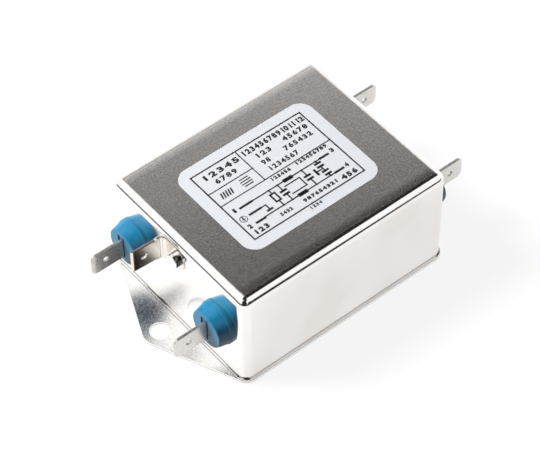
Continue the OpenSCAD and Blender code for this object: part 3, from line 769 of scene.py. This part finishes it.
def addDot(u, v, radius, hole=0):
    # A round dot of ink, or a ring where hole is its inner radius
    bpy.ops.object.select_all(action="DESELECT")
    bpy.ops.mesh.primitive_circle_add(vertices=labelPlan["dotSides"], radius=radius * mm, fill_type="NGON",
                                      location=printPlace(u, v) * mm)
    dot = settle(bpy.context.object, "ink")
    if hole:
        bpy.ops.object.mode_set(mode="EDIT")
        bpy.ops.mesh.select_mode(type="FACE")
        bpy.ops.mesh.select_all(action="SELECT")
        bpy.ops.mesh.inset(thickness=(radius - hole) * mm)
        bpy.ops.mesh.delete(type="FACE")
        leaveEdit()
    inkParts.append(dot)


def addNumbers(text, u0, u1, v, tall, weight):
    # A row of plain numbers that stands on v and spans from u0 to u1
    plan = labelPlan
    bpy.ops.object.select_all(action="DESELECT")
    bpy.ops.object.text_add()
    row = bpy.context.object
    row.data.body = text
    row.data.size = tall / plan["digitShare"] * mm
    row.data.offset = weight * mm
    row.data.resolution_u = plan["digitSteps"]
    row.data.space_word = plan["space"]
    bpy.ops.object.convert(target="MESH")
    row = bpy.context.object
    wide = (printPlace(u1, v) - printPlace(u0, v)).length * mm
    row.scale.x = wide / row.dimensions.x
    row.location = printPlace(u0, v) * mm
    inkParts.append(settle(row, "ink"))


def addLines(lines, width):
    for line in lines:
        addLine(*line, width)


# Lines are u0, v0, u1, v1
outerFrame = [(0, 0, 1, 0), (0, 1, 1, 1), (0, 0, 0, 1), (1, 0, 1, 1)]
innerFrame = [(0, 0.475, 1, 0.475), (0.40, 0, 0.40, 0.475), (0, 0.28, 0.40, 0.28)]

numberRows = [
    # text, its ends u0 and u1, v, height and added weight in mm
    ("1 2 3 4 5", 0.055, 0.365, 0.12, 1.55, 0.11), ("6 7 8 9", 0.115, 0.305, 0.222, 1.4, 0.10),
    ("1 2 3 4 5 6 7 8 9 10 11 12", 0.422, 0.978, 0.108, 1.55, 0.13),
    ("1 2 3", 0.485, 0.61, 0.212, 1.4, 0.10), ("4 5 6 7 8", 0.74, 0.965, 0.205, 1.4, 0.10),
    ("9 8", 0.485, 0.555, 0.315, 1.4, 0.10), ("7 6 5 4 3 2", 0.69, 0.945, 0.31, 1.4, 0.10),
    ("1 2 3 4 5 6 7", 0.485, 0.745, 0.42, 1.4, 0.10),
    ("1 2 3 4 5 6", 0.43, 0.60, 0.535, 0.95, 0.09), ("1 2 3 4 5 6 7 8 9", 0.66, 0.94, 0.525, 0.95, 0.09),
    ("1", 0.03, 0.05, 0.62, 1.25, 0.11), ("2", 0.035, 0.065, 0.87, 1.25, 0.11),
    ("3", 0.93, 0.96, 0.615, 1.25, 0.11), ("4", 0.925, 0.955, 0.855, 1.25, 0.11),
    ("1 2 3", 0.035, 0.15, 0.965, 1.35, 0.12), ("4 5 6", 0.83, 0.97, 0.965, 1.35, 0.12),
    ("5 4 3 2", 0.28, 0.385, 0.94, 0.95, 0.09), ("9 8 7 6 5 4 3 2 1", 0.485, 0.79, 0.945, 0.95, 0.09),
    ("1 2 3 4", 0.475, 0.575, 1.055, 0.85, 0.07),
]


marksPlan = {"slants": 5, "slantU": 0.07, "slantStep": 0.022, "slantV": 0.375, "slantSize": (0.42, 2.0),
             "slantTurn": -0.25, "bars": 4, "barU": 0.29, "barV": 0.325, "barStep": 0.032,
             "barWide": 3.4, "barLoss": 0.5, "barTall": 0.34}


def drawMarks():
    # Plain bars: a row of slanted ones and a stack whose middle ones are the widest
    plan = marksPlan
    for k in range(plan["slants"]):
        addBar(plan["slantU"] + plan["slantStep"] * k, plan["slantV"], *plan["slantSize"], plan["slantTurn"])
    for k in range(plan["bars"]):
        wide = plan["barWide"] - plan["barLoss"] * abs(k - (plan["bars"] - 1) / 2)
        addBar(plan["barU"], plan["barV"] + plan["barStep"] * k, wide, plan["barTall"])


# Places are u and v, sizes are in mm
circuitPlan = {"top": 0.606, "bottom": 0.842, "lineEnds": ((0.20, 0.84), (0.18, 0.84)),
               "stubs": ((0.10, 0.20, 0.606), (0.116, 0.21, 0.728), (0.107, 0.18, 0.85),
                         (0.83, 0.90, 0.606), (0.83, 0.90, 0.842)),   # u0, u1 and v
               "chokeU": 0.53, "chokeBar": (2.9, 1.15), "loop": (0.47, 0.665, 0.60, 0.785),
               "resistor": (0.335, 0.66, 0.375, 0.765), "resistorU": 0.355, "resistorWeight": 1.3,
               "xCapacitorU": (0.435, 0.655), "middleV": 0.722, "yCapacitorU": 0.785,
               "yCapacitorV": (0.662, 0.782), "plateWide": 2.1, "plateGap": 0.024,
               "tapU": 0.725, "tapReach": 0.032, "earthFrom": (0.21, 0.728), "earthTo": (0.255, 0.785),
               "earthBarV": 0.80, "earthBarWide": 1.9, "dotR": 0.3,
               "symbolU": 0.055, "symbolV": 0.735, "symbolTop": 0.71,
               "symbolR": 1.05, "symbolHole": 0.85, "symbolStep": 0.012, "symbolBars": (1.0, 0.7, 0.4),
               "symbolBarTall": 0.14}


def addCapacitor(u, v):
    # Two plates across the line; gives the v at which the wires meet them
    gap = circuitPlan["plateGap"]
    for side in (-1, 1):
        addBar(u, v + side * gap, circuitPlan["plateWide"], labelPlan["thick"])
    return v - gap, v + gap


def drawCircuit():
    plan = circuitPlan
    wire, thick = labelPlan["wire"], labelPlan["thick"]
    top, bottom = plan["top"], plan["bottom"]
    # The stubs at both ends and the two lines with the choke's bars
    addLines([(u0, v, u1, v) for u0, u1, v in plan["stubs"]], thick)
    addLines([(u0, v, u1, v) for v, (u0, u1) in zip((top, bottom), plan["lineEnds"])], wire)
    for v in (top, bottom):
        addBar(plan["chokeU"], v, *plan["chokeBar"])
    u0, v0, u1, v1 = plan["loop"]
    addLines([(u0, v0, u1, v0), (u1, v0, u1, v1), (u0, v1, u1, v1)], wire)
    # The resistor
    u0, v0, u1, v1 = plan["resistor"]
    u = plan["resistorU"]
    addLines([(u, top, u, v0), (u, v1, u, bottom)], wire)
    addLines([(u0, v0, u1, v0), (u0, v1, u1, v1), (u0, v0, u0, v1), (u1, v0, u1, v1)],
             wire * plan["resistorWeight"])
    # The capacitors from line to line, then the two in series with their tap
    for u in plan["xCapacitorU"]:
        above, below = addCapacitor(u, plan["middleV"])
        addLines([(u, top, u, above), (u, below, u, bottom)], wire)
    u, tap, middle = plan["yCapacitorU"], plan["tapU"], plan["middleV"]
    first, second = (addCapacitor(u, v) for v in plan["yCapacitorV"])
    addLines([(u, top, u, first[0]), (u, first[1], u, second[0]), (u, second[1], u, bottom),
              (tap, middle, u, middle)], wire)
    addLine(tap, middle - plan["tapReach"], tap, middle + plan["tapReach"], thick)
    # The earth line and its foot
    (u0, v0), (u1, v1) = plan["earthFrom"], plan["earthTo"]
    addLines([(u0, v0, u1, v0), (u1, v0, u1, v1)], wire)
    addBar(u1, plan["earthBarV"], plan["earthBarWide"], thick)
    # Dots where a part meets a line
    for u in (plan["resistorU"], *plan["xCapacitorU"], plan["yCapacitorU"]):
        for v in (top, bottom):
            addDot(u, v, plan["dotR"])
    # The earth symbol in a ring
    u, v = plan["symbolU"], plan["symbolV"]
    addDot(u, v, plan["symbolR"], plan["symbolHole"])
    addLine(u, plan["symbolTop"], u, v, wire)
    for k, wide in enumerate(plan["symbolBars"]):
        addBar(u, v + plan["symbolStep"] * k, wide, plan["symbolBarTall"])


def makePrint():
    addLines(outerFrame, labelPlan["frameLine"])
    addLines(innerFrame, labelPlan["innerLine"])
    drawMarks()
    drawCircuit()
    for row in numberRows:
        addNumbers(*row)
    bpy.ops.object.select_all(action="DESELECT")
    for part in inkParts:
        part.select_set(True)
    bpy.context.view_layer.objects.active = inkParts[0]
    bpy.ops.object.join()
    ink = nameObject(bpy.context.object, "labelPrint")
    body = ink.modifiers.new("body", "SOLIDIFY")
    body.thickness = labelPlan["ink"] * mm
    body.offset = 1
    bpy.ops.object.modifier_apply(modifier="body")
    finishPiece(ink, None, labelInk)


makeLabel()
makePrint()
print("label made")


# The pieces inside the can keep their CAD shape and get their own finish

insidePieces = {
    "earth_ring_lug": "brass_lug", "choke_core": "ferrite", "choke_divider": "white_plastic",
    "choke_winding_1": "enamelled_copper", "choke_winding_2": "enamelled_copper",
    "x_capacitor_line": "capacitor_case", "x_capacitor_load": "capacitor_case",
    "y_capacitor_1": "disc_lacquer", "y_capacitor_2": "disc_lacquer",
    "bleed_resistor": "resistor_ceramic", "insulating_film": "film", "fibre_sheet": "fibre_board",
    "potting_compound": "potting",
}


def dressHidden():
    made = {name: grainedFinish(name, look) for name, look in hiddenFinishes.items()}
    wires = {name: grainedFinish(name, look) for name, look in wireFinishes.items()}
    wires["load_wire_1"] = wires["line_wire_1"]
    wires["load_wire_2"] = wires["line_wire_2"]
    for name in list(insidePieces) + list(wires):
        material = wires.get(name) or made[insidePieces[name]]
        nodes[name].data.materials.clear()
        nodes[name].data.materials.append(material)


dressHidden()
print("inner pieces dressed")


# The camera stands where the photograph was taken from: angles in degrees, place and sensor in mm,
# clip in metres

cameraPlan = {"azimuth": -38.69, "elevation": 49.99, "roll": -0.757, "place": (-233.60, -287.93, 453.92),
              "focalPixels": 2324.6, "widthPixels": 540, "sensor": 36.0, "clip": (0.01, 20)}


def makeCamera():
    plan = cameraPlan
    data = bpy.data.cameras.new("camera")
    camera = bpy.data.objects.new("camera", data)
    bpy.context.scene.collection.objects.link(camera)
    data.sensor_fit = "HORIZONTAL"
    data.sensor_width = plan["sensor"]
    data.lens = plan["sensor"] * plan["focalPixels"] / plan["widthPixels"]
    data.clip_start, data.clip_end = plan["clip"]
    turn = Matrix.Rotation(math.radians(plan["azimuth"]), 4, "Z")
    tilt = Matrix.Rotation(math.radians(90 - plan["elevation"]), 4, "X")
    roll = Matrix.Rotation(math.radians(plan["roll"]), 4, "Z")
    camera.matrix_world = Matrix.Translation(Vector(plan["place"]) * mm) @ turn @ tilt @ roll
    bpy.context.scene.camera = camera


makeCamera()
print("camera placed")


# The studio: a white floor and surround, a soft lamp, and cards that the metal mirrors

studioPlan = {"floor": 8.0, "floorDrop": 0.02, "world": 0.30, "floorAlbedo": 0.08, "floorGlow": 0.86,
              "floorCatch": 0.2, "cardSpan": (-0.44, 0.5)}   # floor in metres, floorDrop in mm


def backgroundRays(tree):
    # 1 for what the camera, a reflection or a clear material sees directly
    path = addNode(tree, "LightPath")
    total = path.outputs["Is Camera Ray"]
    for name in ("Is Glossy Ray", "Is Transmission Ray"):
        total = calculate(tree, "MAXIMUM", total, path.outputs[name])
    return total


def makeFloor():
    # White where the camera or a reflection sees it, and nearly black to all other light
    plan = studioPlan
    bpy.ops.object.select_all(action="DESELECT")
    bpy.ops.mesh.primitive_plane_add(size=plan["floor"], location=(0, 0, -plan["floorDrop"] * mm))
    floor = settle(bpy.context.object, "floor")
    material, tree = emptyMaterial("floorWhite")
    seen = addNode(tree, "AddShader")
    glow = addNode(tree, "Emission", Color=(1, 1, 1, 1), Strength=plan["floorGlow"])
    catch = addNode(tree, "BsdfDiffuse", Color=(plan["floorCatch"],) * 3 + (1,))
    tree.links.new(glow.outputs[0], seen.inputs[0])
    tree.links.new(catch.outputs[0], seen.inputs[1])
    lit = addNode(tree, "BsdfDiffuse", Color=(plan["floorAlbedo"],) * 3 + (1,))
    mix = addNode(tree, "MixShader")
    tree.links.new(backgroundRays(tree), mix.inputs[0])
    tree.links.new(lit.outputs[0], mix.inputs[1])
    tree.links.new(seen.outputs[0], mix.inputs[2])
    out = addNode(tree, "OutputMaterial")
    tree.links.new(mix.outputs[0], out.inputs["Surface"])
    floor.data.materials.append(material)


def makeWorld():
    world = bpy.data.worlds.new("studio")
    world.use_nodes = True
    tree = world.node_tree
    back = tree.nodes["Background"]
    back.inputs["Color"].default_value = (1, 1, 1, 1)
    strength = ramp(tree, backgroundRays(tree), 0, 1, studioPlan["world"], 1)
    tree.links.new(strength, back.inputs["Strength"])
    bpy.context.scene.world = world


def makeCard(name, centre, size, rotation, startTone, endTone, tilt=0):
    # A card that only bounced light sees, graded from one tone to the other along its Y axis, or along
    # a line tilted towards its X axis
    bpy.ops.object.select_all(action="DESELECT")
    bpy.ops.mesh.primitive_plane_add(size=1, location=centre, rotation=[math.radians(a) for a in rotation])
    card = bpy.context.object
    card.name = name
    card.scale = (size[0], size[1], 1)
    material, tree = emptyMaterial(name)
    along = addNode(tree, "VectorMath", {"operation": "DOT_PRODUCT"})
    tree.links.new(objectPlace(tree), along.inputs[0])
    along.inputs[1].default_value = (tilt, 1, 0)
    tone = ramp(tree, along.outputs["Value"], *studioPlan["cardSpan"], startTone, endTone)
    glow = addNode(tree, "Emission", Strength=tone)
    out = addNode(tree, "OutputMaterial")
    tree.links.new(glow.outputs[0], out.inputs["Surface"])
    card.data.materials.append(material)
    for ray in ("camera", "transmission", "shadow", "volume_scatter"):
        setattr(card, "visible_" + ray, False)


cards = [
    # name, centre and size in metres, turn in degrees, tones at its two ends and tilt of the gradient
    ("roofCard", (0.435, 0.60, 0.8), (0.63, 0.505), (0, 0, 0), 0.0, 0.76, 0.55),
    ("softCard", (-0.50, 0.50, 0.75), (0.75, 0.75), (0, 0, 0), 1.3, 1.3),
    ("overheadCard", (0.475, 0.10, 0.8), (0.55, 0.49), (0, 0, 0), 0.015, 0.005),
    ("darkCard", (0.275, -0.02, 0.81), (1.25, 0.44), (0, 0, 0), 0.02, 0.02),
    ("cornerCard", (-0.15, -0.35, 0.82), (0.50, 0.50), (0, 0, 0), 0.02, 0.02),
    ("wedgeCard", (0.349, -1.45, 0.43), (0.80, 0.80), (90, -28.6, 0), 0.02, 0.02),
    ("cameraCard", (-0.68, -0.83, 0.80), (1.15, 1.60), (90, 0, 129), 0.02, 0.02),
    ("leftEdgeCard", (-1.5, 0.5, 0.21), (3.0, 0.42), (90, 0, 90), 0.03, 0.03),
    ("nearEdgeCard", (0.7, -1.5, 0.22), (3.6, 0.44), (90, 0, 0), 0.02, 0.03),
]


def makeLamp(name, place, size, energy):
    # A round lamp that faces the object and that no metal mirrors
    data = bpy.data.lights.new(name, "AREA")
    data.shape = "DISK"
    data.size = size
    data.energy = energy
    lamp = bpy.data.objects.new(name, data)
    bpy.context.scene.collection.objects.link(lamp)
    lamp.location = place
    lamp.rotation_mode = "QUATERNION"
    lamp.rotation_quaternion = Vector(place).to_track_quat("Z", "Y")
    lamp.visible_glossy = False


lamps = [
    # name, place and size in metres, power in watts
    ("keyLamp", (-0.55, 0.55, 0.75), 0.5, 15.5),
]

makeFloor()
makeWorld()
for card in cards:
    makeCard(*card)
for lamp in lamps:
    makeLamp(*lamp)
bpy.context.scene.view_settings.view_transform = "Standard"
print("studio made")
